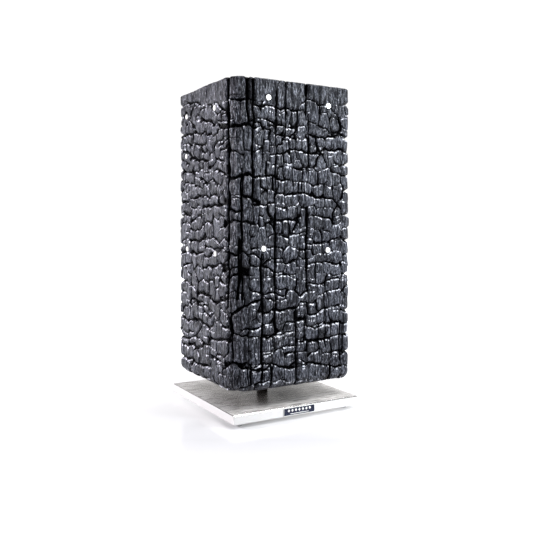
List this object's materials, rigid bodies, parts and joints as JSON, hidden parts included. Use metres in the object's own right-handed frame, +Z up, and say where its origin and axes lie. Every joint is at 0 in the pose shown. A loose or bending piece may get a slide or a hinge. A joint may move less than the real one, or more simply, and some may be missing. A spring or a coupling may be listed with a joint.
{
  "type": "magnetic knife block on a swivel base",
  "caption": "Upright charred timber block with rod magnets in its four faces to hold blades, turning on a steel spindle and thrust bearing above a square steel plate.",
  "frame": {"origin": "centre of the footprint, on the surface that the feet stand on", "axes": "+Z up, along the spindle; the badge is on the plate's -Y edge; X runs along that edge"},
  "size_m": [0.16, 0.1608, 0.366],
  "materials": {
    "charred_wood": "charred and sealed, cracked into scales, satin",
    "brushed_plate": "long brushed grain along X",
    "badge_enamel": "dark enamel in a bright rim",
    "clear_bumper": "clear silicone",
    "turned_steel": "turned and polished",
    "zinc_hardware": "bright zinc plate",
    "bearing_steel": "ground and polished",
    "cage_brass": "machined",
    "housing_aluminium": "turned",
    "bush_bronze": "sintered",
    "magnet_nickel": "nickel plate"
  },
  "bodies": {
    "base": {"base_plate": "brushed_plate", "badge": "badge_enamel", "foot_front_left": "clear_bumper", "foot_front_right": "clear_bumper", "foot_back_right": "clear_bumper", "foot_back_left": "clear_bumper", "spindle": "turned_steel", "spindle_screw": "zinc_hardware", "lower_race": "bearing_steel", "retaining_washer": "zinc_hardware", "lock_nut": "zinc_hardware"},
    "block": {"charred_block": "charred_wood", "swivel_housing": "housing_aluminium", "lower_bush": "bush_bronze", "upper_bush": "bush_bronze", "upper_race": "bearing_steel", "housing_screw_1": "zinc_hardware", "housing_screw_2": "zinc_hardware", "housing_screw_3": "zinc_hardware", "housing_screw_4": "zinc_hardware", "magnet_front_1": "magnet_nickel", "magnet_front_2": "magnet_nickel", "magnet_front_3": "magnet_nickel", "magnet_front_4": "magnet_nickel", "magnet_left_1": "magnet_nickel", "magnet_left_2": "magnet_nickel", "magnet_left_3": "magnet_nickel", "magnet_left_4": "magnet_nickel", "magnet_left_5": "magnet_nickel", "magnet_back_1": "magnet_nickel", "magnet_back_2": "magnet_nickel", "magnet_back_3": "magnet_nickel", "magnet_back_4": "magnet_nickel", "magnet_right_1": "magnet_nickel", "magnet_right_2": "magnet_nickel", "magnet_right_3": "magnet_nickel", "magnet_right_4": "magnet_nickel"},
    "ball_cage": {"bearing_cage": "cage_brass", "bearing_balls": "bearing_steel"}
  },
  "joints": [
    {"name": "block_turn", "type": "hinge", "parent": "base", "child": "block", "pos_m": [0, 0, 0.032], "axis": [0, 0, 1], "continuous": true},
    {"name": "cage_turn", "type": "hinge", "parent": "base", "child": "ball_cage", "pos_m": [0, 0, 0.0435], "axis": [0, 0, 1], "continuous": true}
  ],
  "couplings": [
    {"joint": "cage_turn", "follows": "block_turn", "ratio": 0.5}
  ]
}
